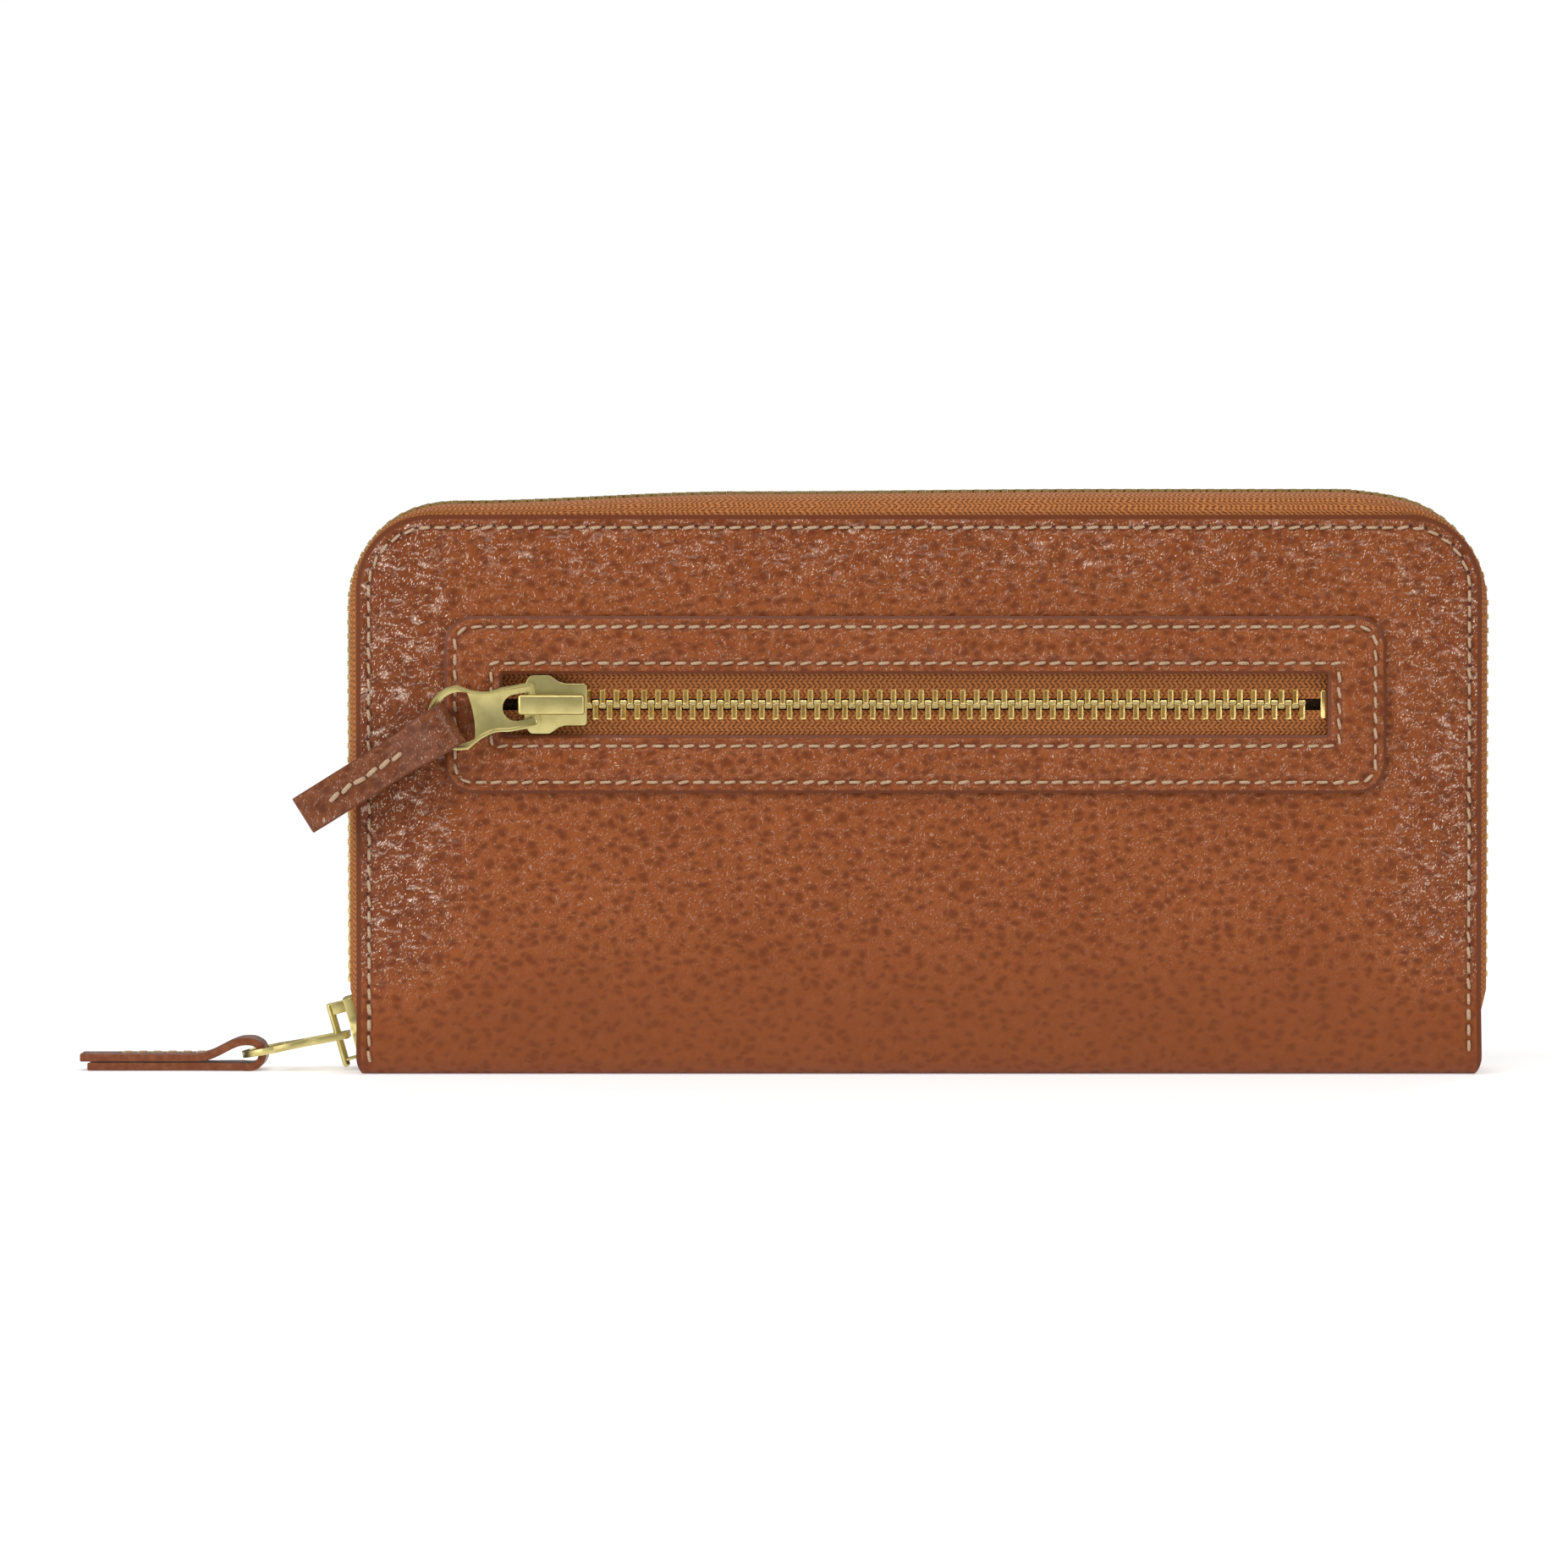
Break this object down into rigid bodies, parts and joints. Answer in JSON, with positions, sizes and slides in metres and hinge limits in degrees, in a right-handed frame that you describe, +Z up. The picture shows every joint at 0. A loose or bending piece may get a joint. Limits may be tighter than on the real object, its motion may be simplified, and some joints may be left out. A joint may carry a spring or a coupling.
{
  "type": "zip around wallet",
  "caption": "Upright two-cover leather wallet closed by a zip round three sides, with a zipped front pocket, strap pullers and a coin pocket.",
  "frame": {"origin": "centre of the underside of the spine that the wallet stands on", "axes": "+Z up, front cover towards -Y, +X to the right of somebody facing the front"},
  "size_m": [0.2473, 0.0337, 0.1016],
  "materials": {
    "cognac_leather": "glossy pebbled grain, dark painted edges",
    "slot_leather": "smooth satin leather",
    "lining_cloth": "fine plain weave",
    "board": "matt fibre board",
    "thread": "waxed thread",
    "zip_tape": "woven herringbone tape",
    "teeth_brass": "polished",
    "slider_brass": "pale satin"
  },
  "bodies": {
    "core": {"spine_leather": "cognac_leather", "spine_lining": "lining_cloth", "coin_pocket_front": "slot_leather", "coin_pocket_back": "slot_leather", "coin_pocket_gusset": "lining_cloth", "coin_zip_tape_front": "zip_tape", "coin_zip_tape_back": "zip_tape", "coin_zip_teeth_front": "teeth_brass", "coin_zip_teeth_back": "teeth_brass", "coin_zip_stop": "teeth_brass", "front_left_gusset": "lining_cloth", "front_right_gusset": "lining_cloth", "back_left_gusset": "lining_cloth", "back_right_gusset": "lining_cloth"},
    "front_cover": {"front_cover_leather": "cognac_leather", "front_cover_board": "board", "front_cover_thread": "thread", "front_zip_tape": "zip_tape", "front_zip_teeth": "teeth_brass", "front_lining": "lining_cloth", "front_card_slot_1": "slot_leather", "front_card_slot_2": "slot_leather", "front_card_slot_3": "slot_leather", "front_card_slot_4": "slot_leather", "front_patch": "cognac_leather", "patch_outer_thread": "thread", "patch_inner_thread": "thread", "pocket_zip_tape_upper": "zip_tape", "pocket_zip_tape_lower": "zip_tape", "pocket_zip_teeth_upper": "teeth_brass", "pocket_zip_teeth_lower": "teeth_brass", "pocket_zip_stop": "teeth_brass", "front_pocket_bag": "lining_cloth"},
    "back_cover": {"back_cover_leather": "cognac_leather", "back_cover_board": "board", "back_cover_thread": "thread", "back_zip_tape": "zip_tape", "back_zip_teeth": "teeth_brass", "back_lining": "lining_cloth", "back_card_slot_1": "slot_leather", "back_card_slot_2": "slot_leather", "back_card_slot_3": "slot_leather", "back_card_slot_4": "slot_leather"},
    "main_slider": {"main_slider_body": "slider_brass", "main_slider_crown": "slider_brass"},
    "main_tab": {"main_pull_tab": "slider_brass"},
    "main_puller": {"main_strap": "cognac_leather", "main_strap_thread": "thread"},
    "pocket_slider": {"pocket_slider_body": "slider_brass", "pocket_slider_crown": "slider_brass"},
    "pocket_tab": {"pocket_pull_tab": "slider_brass"},
    "pocket_puller": {"pocket_strap": "cognac_leather", "pocket_strap_thread": "thread"},
    "coin_slider": {"coin_slider_body": "slider_brass", "coin_slider_crown": "slider_brass"},
    "coin_tab": {"coin_pull_tab": "slider_brass"}
  },
  "joints": [
    {"name": "front_cover_hinge", "type": "hinge", "parent": "core", "child": "front_cover", "pos_m": [0, -0.013, 0], "axis": [1, 0, 0], "range_deg": [0, 28], "deforming": ["front_left_gusset", "front_right_gusset"]},
    {"name": "back_cover_hinge", "type": "hinge", "parent": "core", "child": "back_cover", "pos_m": [0, 0.013, 0], "axis": [-1, 0, 0], "range_deg": [0, 28], "deforming": ["back_left_gusset", "back_right_gusset"]},
    {"name": "main_zip_slide", "type": "slide", "parent": "core", "child": "main_slider", "axis": [-0.0287, 0, 0.9996], "range_m": [0, 0.062], "deforming": ["front_zip_tape", "back_zip_tape", "front_zip_teeth", "back_zip_teeth"]},
    {"name": "main_tab_swing", "type": "hinge", "parent": "main_slider", "child": "main_tab", "pos_m": [-0.1006, 0, 0.00619], "axis": [0, 1, 0], "range_deg": [-42, 42]},
    {"name": "main_strap_swing", "type": "hinge", "parent": "main_tab", "child": "main_puller", "pos_m": [-0.11738, 0, 0.003], "axis": [0, 1, 0], "range_deg": [-60, 60]},
    {"name": "pocket_zip_slide", "type": "slide", "parent": "front_cover", "child": "pocket_slider", "axis": [1, 0, 0], "range_m": [0, 0.126], "deforming": ["pocket_zip_teeth_upper", "pocket_zip_teeth_lower"]},
    {"name": "pocket_tab_swing", "type": "hinge", "parent": "pocket_slider", "child": "pocket_tab", "pos_m": [-0.06705, -0.01515, 0.0645], "axis": [-0.1736, 0, 0.9848], "range_deg": [0, 130]},
    {"name": "pocket_strap_swing", "type": "hinge", "parent": "pocket_tab", "child": "pocket_puller", "pos_m": [-0.08314, -0.01746, 0.06007], "axis": [-0.5299, 0, 0.848], "range_deg": [0, 45]},
    {"name": "coin_zip_slide", "type": "slide", "parent": "core", "child": "coin_slider", "axis": [1, 0, 0], "range_m": [0, 0.15], "deforming": ["coin_zip_teeth_front", "coin_zip_teeth_back"]},
    {"name": "coin_tab_swing", "type": "hinge", "parent": "coin_slider", "child": "coin_tab", "pos_m": [-0.0751, 0, 0.07355], "axis": [0, 1, 0], "range_deg": [0, 130]}
  ],
  "couplings": [
    {"joint": "back_cover_hinge", "follows": "front_cover_hinge", "ratio": 1}
  ]
}
